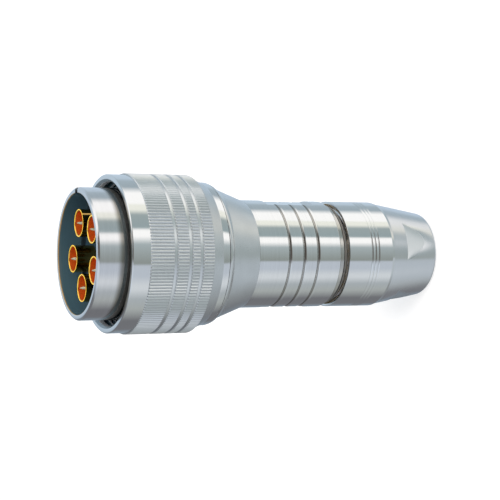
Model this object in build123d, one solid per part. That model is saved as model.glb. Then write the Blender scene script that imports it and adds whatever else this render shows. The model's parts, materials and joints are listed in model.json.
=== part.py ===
from build123d import *
import os
from math import cos, pi, radians, sin

# Circular multi-contact coaxial cable plug. Millimetres, +Z from the cable end to the mating end.
# The origin is the centre of the tail nut's end face, on which the plug stands.
# +X points at the key slot of the plug shell.

# Lengths along the axis
nut_length = 35.5
nut_gap = 3.15
barrel_length = 29.0
adapter_length = 12.5
ring_rear_gap = 0.2
ring_length = 32.15
shell_proud = 9.2

# Clearances
running_clearance = 0.08
seat_clearance = 0.05
free_clearance = 0.3
face_gap = 0.1

# How far a cutter runs past the face that it opens
cut_margin = 1.0

# Coaxial contacts
contact_count = 5
contact_gap = 3.92
first_contact_angle = 26.2
contact_recess = 2.3
sleeve_radius = 4.3
sleeve_wall = 0.5
sleeve_tail_step = 1.3
sleeve_tail_length = 8.5
collar_step = 0.6
collar_thickness = 2.0
pin_radius = 0.7
pin_tip_length = 1.6
pin_proud = 0.5
bead_recess = 9.0

# Insulator and its snap ring
insert_margin = 3.7
insert_recess = 8.7
insert_front_length = 16.0
snap_ring_thickness = 1.0
snap_ring_depth = 0.5
snap_ring_width = 1.8
snap_ring_opening = 9.0

# Plug shell
shell_wall = 1.7
rim_chamfer = 0.6
key_slot_width = 2.4
key_slot_length = 17.5
flange_clearance = 0.35
flange_thickness = 2.5
shell_stub_step = 3.1
shell_stub_length = 8.6
shell_stub_wall = 1.8
shell_seal_place = 2.5
insert_shoulder = 2.0

# Coupling ring
mating_gap = 1.95
ring_wall = 2.65
ring_band_step = 0.45
ring_edge_chamfer = 0.3
front_band_length = 5.7
knurl_pitch = 1.0
knurl_depth = 0.4
knurl_length = 20.5
knurl_seat = 0.15
knurl_groove_width = 0.9
knurl_groove_places = (8.0, 12.8, 16.35)
ring_rear_step = 2.25
ring_rear_band = 2.1
thread_lead_in = 0.75
thread_length = 12.0
thread_relief_depth = 0.6
thread_relief_length = 2.5
ring_lip_length = 3.9

# Thrust washer and gasket, both round the shell
thrust_washer_thickness = 0.7
gasket_thickness = 1.8
gasket_seat_depth = 0.3

# Cable gland
cable_bore_radius = 9.25
gland_wall = 3.4
gland_length = 10.4
gland_washer_thickness = 1.2
collet_slots = 6
collet_slot_width = 1.2
collet_ring_length = 2.5
slip_ring_thickness = 2.0

# Tail nut
nut_wall = 1.87
nut_taper = 3.6
nut_cone_length = 18.4
nut_step_length = 1.0
nut_step_height = 0.4
nut_end_radius = 1.3
nut_floor = 6.0
nut_front_chamfer = 1.0
nut_groove_width = 0.65
nut_groove_depth = 0.3
nut_groove_pitch = 1.25
nut_groove_count = 3
nut_groove_place = 8.45
nut_flat_count = 4
nut_flat_step = 0.9
nut_flat_top = 12.8
nut_flat_turn = -73.2

# Barrel
barrel_step = 0.05
barrel_wall = 2.15
barrel_shoulder = 0.7
barrel_groove_width = 1.5
barrel_groove_depth = 0.6
barrel_groove_places = (8.15, 13.15, 18.3)
barrel_flat_depth = 0.76
barrel_flat_length = 16.8
barrel_flat_place = 4.8
barrel_flat_turn = -8.0
barrel_rear_chamfer = 0.35
neck_step = 1.05
neck_length = 1.6
tail_stub_wall = 2.8
tail_stub_length = 17.8

# Cone adapter
adapter_front_step = 0.1
adapter_shoulder_drop = 1.35
adapter_shoulder_length = 2.0
adapter_stub_length = 7.6
adapter_stub_wall = 2.0
seal_section = 1.0
barrel_seal_place = 2.5

# Heights that the lengths add up to
nut_front_z = nut_length
barrel_rear_z = nut_front_z + nut_gap
barrel_front_z = barrel_rear_z + barrel_length
adapter_front_z = barrel_front_z + adapter_length
ring_rear_z = adapter_front_z + ring_rear_gap
ring_front_z = ring_rear_z + ring_length
rim_z = ring_front_z + shell_proud

# Radii of the mating end, from the contacts outwards
sleeve_bore_radius = sleeve_radius - sleeve_wall
sleeve_tail_radius = sleeve_radius - sleeve_tail_step
collar_radius = sleeve_radius + collar_step
contact_circle_radius = (sleeve_radius + contact_gap / 2) / sin(pi / contact_count)
insert_radius = contact_circle_radius + sleeve_radius + insert_margin
shell_bore_radius = insert_radius + seat_clearance
shell_radius = shell_bore_radius + shell_wall
shell_stub_radius = shell_radius - shell_stub_step
gasket_seat_radius = shell_radius - gasket_seat_depth
thread_crest_radius = shell_radius + mating_gap
flange_radius = thread_crest_radius - flange_clearance
knurl_radius = thread_crest_radius + ring_wall
ring_band_radius = knurl_radius - ring_band_step
ring_rear_radius = knurl_radius - ring_rear_step
adapter_front_radius = ring_rear_radius - adapter_front_step

# Radii of the cable end, from the cable outwards
gland_radius = cable_bore_radius + gland_wall
chamber_radius = gland_radius + seat_clearance
tail_stub_radius = chamber_radius + tail_stub_wall
nut_bore_radius = tail_stub_radius + running_clearance
nut_radius = nut_bore_radius + nut_wall
cone_tail_radius = nut_radius - nut_taper
barrel_radius = nut_radius - barrel_step
neck_radius = barrel_radius - neck_step
barrel_socket_radius = barrel_radius - barrel_wall
adapter_stub_radius = barrel_socket_radius - seat_clearance

# Places that follow from a seat
lip_top_z = ring_rear_z + ring_lip_length
flange_bottom_z = lip_top_z + face_gap + thrust_washer_thickness
flange_top_z = flange_bottom_z + flange_thickness
gasket_top_z = flange_top_z + gasket_thickness
insert_front_z = rim_z - insert_recess
insert_split_z = insert_front_z - insert_front_length
insert_rear_z = flange_bottom_z + insert_shoulder
sleeve_mouth_z = rim_z - contact_recess
collar_z = insert_split_z - collar_thickness
sleeve_floor_z = collar_z + sleeve_wall
sleeve_tail_z = insert_rear_z - sleeve_tail_length
bead_front_z = sleeve_mouth_z - bead_recess
shell_stub_z = adapter_front_z - shell_stub_length
adapter_seat_z = shell_stub_z - face_gap
adapter_stub_z = barrel_front_z - adapter_stub_length
barrel_seat_z = adapter_stub_z - face_gap
neck_z = barrel_rear_z - neck_length
tail_stub_z = barrel_rear_z - tail_stub_length
shell_seal_z = adapter_front_z - shell_seal_place
barrel_seal_z = barrel_front_z - barrel_seal_place
slip_ring_z = nut_floor + face_gap
collet_z = slip_ring_z + slip_ring_thickness + face_gap
collet_top_z = tail_stub_z + collet_ring_length / 2
gland_top_z = collet_top_z + gland_length
gland_seat_z = gland_top_z + gland_washer_thickness


def turned(points):
    """Solid of revolution about Z, from an outline of (radius, height) points."""
    outline = Polyline(*[(radius, 0, height) for radius, height in points], close=True)
    return revolve(make_face(outline), Axis.Z)


def tube(outer, inner, bottom, top):
    """Plain tube between two heights."""
    return turned([(inner, bottom), (outer, bottom), (outer, top), (inner, top)])


def rod(radius, bottom, top):
    """Plain cylinder between two heights."""
    return Pos(0, 0, bottom) * extrude(Circle(radius), top - bottom)


def seal_ring(groove_radius, section, height):
    """Square-section seal in a groove whose floor has the given radius."""
    half = section / 2 - seat_clearance
    outer = groove_radius + section - seat_clearance
    return tube(outer, groove_radius + seat_clearance, height - half, height + half)


def seal_groove(outer_radius, section, height):
    """Ring that cuts a square seal groove into a cylinder."""
    half = section / 2
    return tube(outer_radius + cut_margin, outer_radius - section, height - half, height + half)


def v_groove(radius, height, width, depth):
    """Ring of triangular section that cuts a V groove into a cylinder."""
    half = width / 2
    overshoot = cut_margin + depth
    spread = half * overshoot / depth
    return turned(
        [
            (radius - depth, height),
            (radius - depth + overshoot, height - spread),
            (radius - depth + overshoot, height + spread),
        ]
    )


def contact_angles():
    """Directions of the contacts, counted from the key slot."""
    return [first_contact_angle - index * 360 / contact_count for index in range(contact_count)]


def at_contact(shape, angle):
    """The shape moved from the axis to one contact's place."""
    x = contact_circle_radius * cos(radians(angle))
    y = contact_circle_radius * sin(radians(angle))
    return Pos(x, y, 0) * shape


def plug_shell():
    """Tube round the contacts, with a flange, a key slot and a stub for the cone adapter."""
    stub_bore = shell_stub_radius - shell_stub_wall
    body = turned(
        [
            (stub_bore, shell_stub_z),
            (shell_stub_radius, shell_stub_z),
            (shell_stub_radius, adapter_front_z),
            (shell_radius, adapter_front_z),
            (shell_radius, flange_bottom_z),
            (flange_radius, flange_bottom_z),
            (flange_radius, flange_top_z),
            (gasket_seat_radius, flange_top_z),
            (gasket_seat_radius, gasket_top_z),
            (shell_radius, gasket_top_z),
            (shell_radius, rim_z - rim_chamfer),
            (shell_radius - rim_chamfer, rim_z),
            (shell_bore_radius, rim_z),
            (shell_bore_radius, insert_rear_z),
            (stub_bore, insert_rear_z),
        ]
    )
    groove_bottom = insert_front_z + face_gap / 2
    groove_top = groove_bottom + snap_ring_thickness + face_gap
    groove_radius = shell_bore_radius + snap_ring_depth + seat_clearance
    body -= tube(groove_radius, stub_bore, groove_bottom, groove_top)
    body -= seal_groove(shell_stub_radius, seal_section, shell_seal_z)
    slot = Box(shell_radius, key_slot_width, 2 * key_slot_length)
    return body - Pos(shell_radius, 0, rim_z) * slot


def knurl_band(bottom, top):
    """One stretch of straight knurling, a toothed ring that stands on the ring's body."""
    teeth = round(2 * pi * knurl_radius / knurl_pitch)
    root_radius = knurl_radius - knurl_depth
    points = []
    for index in range(teeth):
        crest = 2 * pi * index / teeth
        root = crest + pi / teeth
        points.append((knurl_radius * cos(crest), knurl_radius * sin(crest)))
        points.append((root_radius * cos(root), root_radius * sin(root)))
    section = make_face(Polyline(*points, close=True)) - Circle(root_radius - 2 * knurl_seat)
    return Pos(0, 0, bottom) * extrude(section, top - bottom)


def coupling_ring():
    """Knurled ring that turns on the shell, with the bore of its coupling thread."""
    knurl_top = ring_front_z - front_band_length
    knurl_bottom = knurl_top - knurl_length
    body_radius = knurl_radius - knurl_depth - knurl_seat
    lip_radius = shell_radius + running_clearance
    thread_end = ring_front_z - thread_lead_in - thread_length
    relief_radius = thread_crest_radius + thread_relief_depth
    ring = turned(
        [
            (lip_radius, ring_rear_z),
            (ring_rear_radius, ring_rear_z),
            (ring_rear_radius, ring_rear_z + ring_rear_band),
            (body_radius, knurl_bottom),
            (body_radius, knurl_top),
            (ring_band_radius, knurl_top),
            (ring_band_radius, ring_front_z - ring_edge_chamfer),
            (ring_band_radius - ring_edge_chamfer, ring_front_z),
            (thread_crest_radius + thread_lead_in, ring_front_z),
            (thread_crest_radius, ring_front_z - thread_lead_in),
            (thread_crest_radius, thread_end),
            (relief_radius, thread_end),
            (relief_radius, thread_end - thread_relief_length),
            (thread_crest_radius, thread_end - thread_relief_length),
            (thread_crest_radius, lip_top_z),
            (lip_radius, lip_top_z),
        ]
    )
    band_top = knurl_top
    for place in knurl_groove_places:
        groove_z = knurl_top - place
        ring += knurl_band(groove_z + knurl_groove_width / 2, band_top)
        band_top = groove_z - knurl_groove_width / 2
    return ring + knurl_band(knurl_bottom, band_top)


def thrust_washer():
    """Slip washer under the shell's flange."""
    return tube(
        flange_radius,
        shell_radius + seat_clearance,
        flange_bottom_z - thrust_washer_thickness,
        flange_bottom_z,
    )


def interface_gasket():
    """Flat seal on the front of the shell's flange, in a shallow seat round the shell."""
    return tube(flange_radius, gasket_seat_radius + seat_clearance, flange_top_z, gasket_top_z)


def insert_half(bottom, top, contact_radius):
    """Black insulator disc with a hole for each contact."""
    disc = rod(insert_radius, bottom, top)
    hole = rod(contact_radius + seat_clearance, bottom - cut_margin, top + cut_margin)
    for angle in contact_angles():
        disc -= at_contact(hole, angle)
    return disc


def insert_front():
    """Front half of the insulator, seen behind the contacts."""
    return insert_half(insert_split_z, insert_front_z, sleeve_radius)


def insert_rear():
    """Back half of the insulator, with recesses for the contact collars."""
    disc = insert_half(insert_rear_z, insert_split_z, sleeve_tail_radius)
    recess = rod(collar_radius + seat_clearance, collar_z, insert_split_z + cut_margin)
    for angle in contact_angles():
        disc -= at_contact(recess, angle)
    return disc


def insert_snap_ring():
    """Open spring ring in the shell's groove, in front of the insulator."""
    outer = shell_bore_radius + snap_ring_depth
    bottom = insert_front_z + face_gap
    ring = tube(outer, outer - snap_ring_width, bottom, bottom + snap_ring_thickness)
    gap = Box(2 * snap_ring_width, snap_ring_opening, 3 * snap_ring_thickness)
    return ring - Pos(outer - snap_ring_width / 2, 0, bottom) * gap


def contact_sleeve():
    """Outer contact: open sleeve with a collar and a thinner tail for the cable's braid."""
    tail_bore_radius = sleeve_tail_radius - sleeve_wall
    return turned(
        [
            (sleeve_bore_radius, sleeve_mouth_z),
            (sleeve_radius, sleeve_mouth_z),
            (sleeve_radius, insert_split_z),
            (collar_radius, insert_split_z),
            (collar_radius, collar_z),
            (sleeve_tail_radius, collar_z),
            (sleeve_tail_radius, sleeve_tail_z),
            (tail_bore_radius, sleeve_tail_z),
            (tail_bore_radius, sleeve_floor_z),
            (sleeve_bore_radius, sleeve_floor_z),
        ]
    )


def contact_bead():
    """White insulator between the sleeve and the centre pin."""
    outer = sleeve_bore_radius - seat_clearance
    return tube(outer, pin_radius + seat_clearance, sleeve_floor_z, bead_front_z)


def contact_pin():
    """Centre contact with a pointed tip just proud of the sleeve's mouth."""
    tip_z = sleeve_mouth_z + pin_proud
    bottom = sleeve_tail_z + sleeve_tail_length / 2
    return turned(
        [(0, bottom), (pin_radius, bottom), (pin_radius, tip_z - pin_tip_length), (0, tip_z)]
    )


def cone_adapter():
    """Cone between the shell's stub and the barrel."""
    socket_radius = shell_stub_radius + seat_clearance
    bore_radius = adapter_stub_radius - adapter_stub_wall
    body = turned(
        [
            (bore_radius, adapter_stub_z),
            (adapter_stub_radius, adapter_stub_z),
            (adapter_stub_radius, barrel_front_z),
            (barrel_radius, barrel_front_z),
            (adapter_front_radius - adapter_shoulder_drop, adapter_front_z - adapter_shoulder_length),
            (adapter_front_radius, adapter_front_z),
            (socket_radius, adapter_front_z),
            (socket_radius, adapter_seat_z),
            (bore_radius, adapter_seat_z),
        ]
    )
    return body - seal_groove(adapter_stub_radius, seal_section, barrel_seal_z)


def shell_seal():
    """Seal round the shell's stub, inside the cone adapter."""
    return seal_ring(shell_stub_radius - seal_section, seal_section, shell_seal_z)


def barrel_seal():
    """Seal round the cone adapter's stub, inside the barrel."""
    return seal_ring(adapter_stub_radius - seal_section, seal_section, barrel_seal_z)


def wrench_flats(distance, turn, count, bottom, top):
    """Blocks that cut flats at one distance from the axis."""
    height = top - bottom
    block = Pos(1.5 * distance, 0, bottom + height / 2) * Box(distance, 4 * distance, height)
    return [Rot(0, 0, turn + index * 360 / count) * block for index in range(count)]


def barrel():
    """Polished body with grooves and flats, and the threaded stub of the tail nut."""
    bore_radius = chamber_radius - barrel_shoulder
    body = turned(
        [
            (chamber_radius, tail_stub_z),
            (tail_stub_radius, tail_stub_z),
            (tail_stub_radius, neck_z),
            (neck_radius, neck_z),
            (neck_radius, barrel_rear_z),
            (barrel_radius - barrel_rear_chamfer, barrel_rear_z),
            (barrel_radius, barrel_rear_z + barrel_rear_chamfer),
            (barrel_radius, barrel_front_z),
            (barrel_socket_radius, barrel_front_z),
            (barrel_socket_radius, barrel_seat_z),
            (bore_radius, barrel_seat_z),
            (bore_radius, gland_seat_z),
            (chamber_radius, gland_seat_z),
        ]
    )
    for place in barrel_groove_places:
        body -= v_groove(barrel_radius, barrel_rear_z + place, barrel_groove_width, barrel_groove_depth)
    bottom = barrel_rear_z + barrel_flat_place
    top = bottom + barrel_flat_length
    for block in wrench_flats(barrel_radius - barrel_flat_depth, barrel_flat_turn, 2, bottom, top):
        body -= block
    return body


def gap_seal():
    """Seal on the barrel's stub, in the gap in front of the tail nut."""
    return seal_ring(tail_stub_radius, neck_radius - tail_stub_radius, (neck_z + nut_front_z) / 2)


def gland_washer():
    """Stiff washer between the barrel's inner shoulder and the gland seal."""
    return tube(gland_radius, cable_bore_radius, gland_top_z, gland_seat_z)


def gland_seal():
    """Rubber sleeve that grips and seals the cable."""
    return tube(gland_radius, cable_bore_radius, collet_top_z, gland_top_z)


def clamp_collet():
    """Slotted collet that the tail nut closes on the cable."""
    body = tube(gland_radius, cable_bore_radius, collet_z, collet_top_z)
    slot_top = collet_top_z - collet_ring_length
    height = slot_top - collet_z
    slot = Box(gland_radius, collet_slot_width, 2 * height)
    for index in range(collet_slots):
        body -= Rot(0, 0, index * 360 / collet_slots) * Pos(gland_radius, 0, collet_z) * slot
    return body


def slip_ring():
    """Ring that slides with the tail nut and presses the collet without turning it."""
    return tube(gland_radius, cable_bore_radius, slip_ring_z, slip_ring_z + slip_ring_thickness)


def tail_nut():
    """Cable nut: cylinder with fine grooves, cone with wrench flats, and the cable's hole."""
    cavity_radius = gland_radius + free_clearance
    thread_bottom_z = tail_stub_z - nut_front_chamfer
    cavity_top_z = thread_bottom_z - (nut_bore_radius - cavity_radius)
    step_radius = nut_radius - nut_step_height
    outline = Polyline(
        (cable_bore_radius, 0, 0),
        (cone_tail_radius, 0, 0),
        (step_radius, 0, nut_cone_length),
        (nut_radius, 0, nut_cone_length + nut_step_length),
        (nut_radius, 0, nut_front_z),
        (nut_bore_radius + nut_front_chamfer, 0, nut_front_z),
        (nut_bore_radius, 0, nut_front_z - nut_front_chamfer),
        (nut_bore_radius, 0, thread_bottom_z),
        (cavity_radius, 0, cavity_top_z),
        (cavity_radius, 0, nut_floor),
        (cable_bore_radius, 0, nut_floor),
        close=True,
    )
    section = make_face(outline)
    corner = section.vertices().sort_by_distance((cone_tail_radius, 0, 0))[0]
    body = revolve(fillet(corner, nut_end_radius), Axis.Z)
    for index in range(nut_groove_count):
        height = nut_front_z - nut_groove_place - index * nut_groove_pitch
        body -= v_groove(nut_radius, height, nut_groove_width, nut_groove_depth)
    flat_distance = cone_tail_radius + nut_flat_step
    for block in wrench_flats(flat_distance, nut_flat_turn, nut_flat_count, -cut_margin, nut_flat_top):
        body -= block
    return body


def all_parts():
    """Every piece under its node's name."""
    parts = {
        "plug_shell": plug_shell(),
        "coupling_ring": coupling_ring(),
        "thrust_washer": thrust_washer(),
        "interface_gasket": interface_gasket(),
        "insert_front": insert_front(),
        "insert_rear": insert_rear(),
        "insert_snap_ring": insert_snap_ring(),
        "cone_adapter": cone_adapter(),
        "shell_seal": shell_seal(),
        "barrel_seal": barrel_seal(),
        "barrel": barrel(),
        "gap_seal": gap_seal(),
        "gland_washer": gland_washer(),
        "gland_seal": gland_seal(),
        "clamp_collet": clamp_collet(),
        "slip_ring": slip_ring(),
        "tail_nut": tail_nut(),
    }
    contact = {
        "contact_sleeve": contact_sleeve(),
        "contact_bead": contact_bead(),
        "contact_pin": contact_pin(),
    }
    for number, angle in enumerate(contact_angles(), start=1):
        for name, shape in contact.items():
            parts[f"{name}_{number}"] = at_contact(shape, angle)
    return parts


os.makedirs("parts", exist_ok=True)
for node, shape in all_parts().items():
    export_step(shape, f"parts/{node}.step")
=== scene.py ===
import json
import logging
import math
from collections.abc import Callable, Sequence
from dataclasses import dataclass, field
from enum import Enum
from typing import NamedTuple

import bmesh
import bpy
from mathutils import Matrix, Vector


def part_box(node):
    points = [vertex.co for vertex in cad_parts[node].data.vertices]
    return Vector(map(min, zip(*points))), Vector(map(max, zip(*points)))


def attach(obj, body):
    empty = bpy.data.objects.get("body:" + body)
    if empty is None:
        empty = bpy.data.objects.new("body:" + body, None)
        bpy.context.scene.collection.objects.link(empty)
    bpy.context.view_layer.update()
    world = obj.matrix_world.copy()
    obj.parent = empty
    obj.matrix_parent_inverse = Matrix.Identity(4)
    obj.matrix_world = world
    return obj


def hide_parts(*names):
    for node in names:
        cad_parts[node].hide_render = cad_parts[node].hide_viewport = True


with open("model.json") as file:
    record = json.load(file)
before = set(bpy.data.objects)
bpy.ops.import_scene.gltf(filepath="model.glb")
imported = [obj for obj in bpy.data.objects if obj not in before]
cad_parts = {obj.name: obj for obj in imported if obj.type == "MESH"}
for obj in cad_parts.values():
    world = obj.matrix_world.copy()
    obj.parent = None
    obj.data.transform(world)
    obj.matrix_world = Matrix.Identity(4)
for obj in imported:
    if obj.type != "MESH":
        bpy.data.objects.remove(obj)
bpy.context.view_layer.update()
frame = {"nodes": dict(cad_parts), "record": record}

log = logging.getLogger("coaxial_plug")

MM = 0.001
FULL_TURN = 2 * math.pi
HALF_TURN = 180
FINE_STEPS = 288
CONTACT_COUNT = 5
Colour = tuple[float, float, float]


class Slot(Enum):
    """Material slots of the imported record."""

    SHELL = "polished_steel"
    RING = "knurled_steel"
    ADAPTER = "blasted_steel"
    BARREL = "barrel_steel"
    NUT = "nut_steel"
    WASHER = "washer_steel"
    SPRING = "spring_steel"
    INSULATOR = "insulator"
    COLLET = "collet_plastic"
    SEAL = "seal_rubber"
    GAP_SEAL = "gap_rubber"
    GOLD = "contact_gold"
    BEAD = "bead_plastic"
    PIN = "pin_silver"


class Body(Enum):
    """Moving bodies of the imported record."""

    MAIN = "main"
    COUPLING = "coupling"
    NUT = "nut"


class Corner(NamedTuple):
    """A point of a turned outline, in millimetres, with the rounding of its edge."""

    radius: float
    height: float
    rounding: float = 0.0


# Finishes


class Nodes:
    """Short spelling for a material's node tree."""

    def __init__(self, tree: bpy.types.NodeTree) -> None:
        """Clears a tree and keeps it."""
        self.tree = tree
        tree.nodes.clear()

    def add(
        self, kind: str, inputs: dict[str | int, object] | None = None, **settings: object
    ) -> bpy.types.Node:
        """Adds a node.

        Args:
            kind: Node type, without its ShaderNode prefix.
            inputs: Socket to a value, or to an output socket that feeds it.
            settings: The node's own properties.

        Returns:
            The new node.
        """
        node = self.tree.nodes.new("ShaderNode" + kind)
        for key, value in settings.items():
            setattr(node, key, value)
        for key, value in (inputs or {}).items():
            socket = node.inputs[key]
            if isinstance(value, bpy.types.NodeSocket):
                self.tree.links.new(value, socket)
            else:
                socket.default_value = value
        return node

    def maths(self, operation: str, *values: object) -> bpy.types.NodeSocket:
        """Result of a Math node fed with up to three values or sockets."""
        return self.add("Math", dict(enumerate(values)), operation=operation).outputs[0]

    def ramp(
        self, factor: bpy.types.NodeSocket, stops: Sequence[tuple[float, Colour]]
    ) -> bpy.types.NodeSocket:
        """Adds a colour ramp.

        Args:
            factor: What runs from 0 to 1 along the ramp.
            stops: Places on the ramp, in order, with their colours.

        Returns:
            The socket with the colour.
        """
        node = self.add("ValToRGB", {0: factor})
        elements = node.color_ramp.elements
        while len(elements) < len(stops):
            elements.new(1.0)
        for element, (place, colour) in zip(elements, stops):
            element.position = place
            element.color = (*colour, 1)
        return node.outputs[0]

    def along_lathe(self, scale: float) -> bpy.types.NodeSocket:
        """Adds the point (radius, 0, height) of the Object coordinates, constant along a tool mark.

        Args:
            scale: Marks to a metre.

        Returns:
            The socket with the scaled point.
        """
        spot = self.add("TexCoord").outputs["Object"]
        parts = self.add("SeparateXYZ", {0: spot}).outputs
        across = self.add("CombineXYZ", {0: parts[0], 1: parts[1], 2: 0.0}).outputs[0]
        radius = self.add("VectorMath", {0: across}, operation="LENGTH").outputs["Value"]
        point = self.add("CombineXYZ", {0: radius, 1: 0.0, 2: parts[2]}).outputs[0]
        return self.add("VectorMath", {0: point, "Scale": scale}, operation="SCALE").outputs[0]

    def close(self, shader: bpy.types.Node) -> None:
        """Feeds the material's output."""
        out = self.add("OutputMaterial")
        self.tree.links.new(shader.outputs[0], out.inputs["Surface"])


@dataclass(frozen=True)
class Finish:
    """What every finish of the plug has."""

    name: str
    colour: Colour

    def material(self) -> bpy.types.Material:
        """Makes the finish's material, once.

        Returns:
            The material.
        """
        known = bpy.data.materials.get(self.name)
        if known:
            return known
        made = bpy.data.materials.new(self.name)
        made.use_nodes = True
        made.diffuse_color = (*self.colour, 1)
        self.build(Nodes(made.node_tree))
        return made

    def build(self, nodes: Nodes) -> None:
        """Fills the material's node tree."""
        raise NotImplementedError


@dataclass(frozen=True)
class TurnedMetal(Finish):
    """Bright metal with fine tool marks round the axis, and an optional band of painted shade."""

    roughness: float = 0.1
    haze: float = 0.06
    mark_scale: float = 9000.0
    mark_depth: float = 0.1
    mark_height: float = 2e-6
    cloud_scale: float = 160.0
    shade: float = 0.06
    metallic: float = 1.0
    # Painted shade: heights in millimetres over which the colour fades from the painted shade colour,
    # below, to the metal's own, above.
    painted_shade_span: tuple[float, float] | None = None
    painted_shade_colour: Colour = (0.30, 0.285, 0.26)

    def build(self, nodes: Nodes) -> None:
        """Tool marks modulate colour, roughness and relief; a painted shade can darken the colour below a
        given height.

        Args:
            nodes: The material's node tree.
        """
        marks = nodes.add(
            "TexNoise", {"Vector": nodes.along_lathe(self.mark_scale), "Scale": 1.0, "Detail": 3.0}
        ).outputs[0]
        spot = nodes.add("TexCoord").outputs["Object"]
        cloud = nodes.add("TexNoise", {"Vector": spot, "Scale": self.cloud_scale, "Detail": 4.0}).outputs[0]
        dark = tuple(c * (1 - 2 * self.shade) for c in self.colour)
        tint = nodes.ramp(marks, [(0.25, dark), (0.75, self.colour)])
        # Painted shade: below the span the colour turns to the painted shade colour, darker towards the
        # bottom.
        if self.painted_shade_span:
            height = nodes.add("SeparateXYZ", {0: spot}).outputs[2]
            unshaded = nodes.add(
                "MapRange",
                {"Value": height, "From Min": self.painted_shade_span[0] * MM, "From Max": self.painted_shade_span[1] * MM},
                interpolation_type="SMOOTHSTEP",
            ).outputs[0]
            tint = nodes.add("MixRGB", {0: unshaded, 1: (*self.painted_shade_colour, 1), 2: tint}).outputs[0]
        rough = nodes.maths(
            "ADD", nodes.maths("MULTIPLY", marks, self.haze), nodes.maths("MULTIPLY", cloud, self.haze)
        )
        rough = nodes.maths("ADD", rough, self.roughness - self.haze)
        relief = nodes.add(
            "Bump", {"Height": marks, "Strength": self.mark_depth, "Distance": self.mark_height}
        )
        nodes.close(
            nodes.add(
                "BsdfPrincipled",
                {
                    "Base Color": tint,
                    "Metallic": self.metallic,
                    "Roughness": rough,
                    "Normal": relief.outputs[0],
                },
            )
        )


@dataclass(frozen=True)
class BlastedMetal(Finish):
    """Metal with the even matt grain of bead blasting."""

    roughness: float = 0.42
    grain: float = 5200.0
    grain_depth: float = 0.35
    grain_height: float = 8e-6
    drift_scale: float = 120.0
    drift_shade: float = 0.12
    haze: float = 0.1

    def build(self, nodes: Nodes) -> None:
        """A fine grain in relief and a slow drift of colour.

        Args:
            nodes: The material's node tree.
        """
        spot = nodes.add("TexCoord").outputs["Object"]
        grain = nodes.add("TexNoise", {"Vector": spot, "Scale": self.grain, "Detail": 2.0}).outputs[0]
        drift = nodes.add("TexNoise", {"Vector": spot, "Scale": self.drift_scale, "Detail": 4.0}).outputs[0]
        dark = tuple(c * (1 - self.drift_shade) for c in self.colour)
        tint = nodes.ramp(drift, [(0.3, dark), (0.7, self.colour)])
        rough = nodes.maths("MULTIPLY_ADD", grain, self.haze, self.roughness - self.haze / 2)
        relief = nodes.add(
            "Bump", {"Height": grain, "Strength": self.grain_depth, "Distance": self.grain_height}
        )
        nodes.close(
            nodes.add(
                "BsdfPrincipled",
                {"Base Color": tint, "Metallic": 1.0, "Roughness": rough, "Normal": relief.outputs[0]},
            )
        )


@dataclass(frozen=True)
class Moulded(Finish):
    """Moulded plastic or rubber."""

    roughness: float = 0.5
    specular: float = 0.4
    grain: float = 2500.0
    grain_depth: float = 0.2
    grain_height: float = 1e-5
    lift: float = 1.25
    least_lift: float = 0.002
    haze: float = 0.16

    def build(self, nodes: Nodes) -> None:
        """A fine mould texture in relief and roughness.

        Args:
            nodes: The material's node tree.
        """
        spot = nodes.add("TexCoord").outputs["Object"]
        grain = nodes.add("TexNoise", {"Vector": spot, "Scale": self.grain, "Detail": 3.0}).outputs[0]
        light = tuple(min(1.0, c * self.lift + self.least_lift) for c in self.colour)
        tint = nodes.ramp(grain, [(0.3, self.colour), (0.75, light)])
        rough = nodes.maths("MULTIPLY_ADD", grain, self.haze, self.roughness - self.haze / 2)
        relief = nodes.add(
            "Bump", {"Height": grain, "Strength": self.grain_depth, "Distance": self.grain_height}
        )
        nodes.close(
            nodes.add(
                "BsdfPrincipled",
                {
                    "Base Color": tint,
                    "Roughness": rough,
                    "Specular IOR Level": self.specular,
                    "Normal": relief.outputs[0],
                },
            )
        )


POLISHED = TurnedMetal("look_polished", (0.81, 0.81, 0.80), roughness=0.09, haze=0.05)
# The shell carries painted shade below 115.7 mm, where it meets the coupling ring.
SHELL = TurnedMetal("look_shell", (0.79, 0.78, 0.78), roughness=0.14, haze=0.05, painted_shade_span=(113.9, 115.7))
KNURLED = TurnedMetal("look_knurled", (0.79, 0.80, 0.80), roughness=0.3, haze=0.06)
SATIN = TurnedMetal("look_satin", (0.82, 0.82, 0.83), roughness=0.2, haze=0.08, mark_depth=0.15)
MILLED = TurnedMetal("look_milled", (0.80, 0.81, 0.81), roughness=0.3, haze=0.08, mark_depth=0.2)
# Painted light: a near-white, barely metallic copy of the ring's steel, so that the thread in the shaded
# mouth shows bright.
LIT_THREAD = TurnedMetal(
    "look_thread_painted_light", (0.95, 0.97, 1.0), roughness=0.3, haze=0.04, shade=0.0, metallic=0.1
)
# Painted shade: a darker copy of the steel for the neck in the gap before the tail nut.
SHADED_NECK = TurnedMetal("look_neck_painted_shade", (0.58, 0.56, 0.52), roughness=0.16, haze=0.08)
# Painted shade: a dark teal copy of the steel for bores and recesses.
SHADED_BORE = TurnedMetal("look_bore_painted_shade", (0.10, 0.18, 0.22), roughness=0.22, haze=0.08, metallic=0.4)
# Painted shade: a darker copy of the steel for the coupling ring's mouth chamfer.
SHADED_MOUTH = TurnedMetal("look_mouth_painted_shade", (0.30, 0.36, 0.39), roughness=0.3, haze=0.08, metallic=0.7)
# Painted shade: a darker copy of the steel for one flank of each barrel groove.
SHADED_FLANK = TurnedMetal("look_groove_painted_shade", (0.38, 0.36, 0.33), roughness=0.16, haze=0.06)
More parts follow.
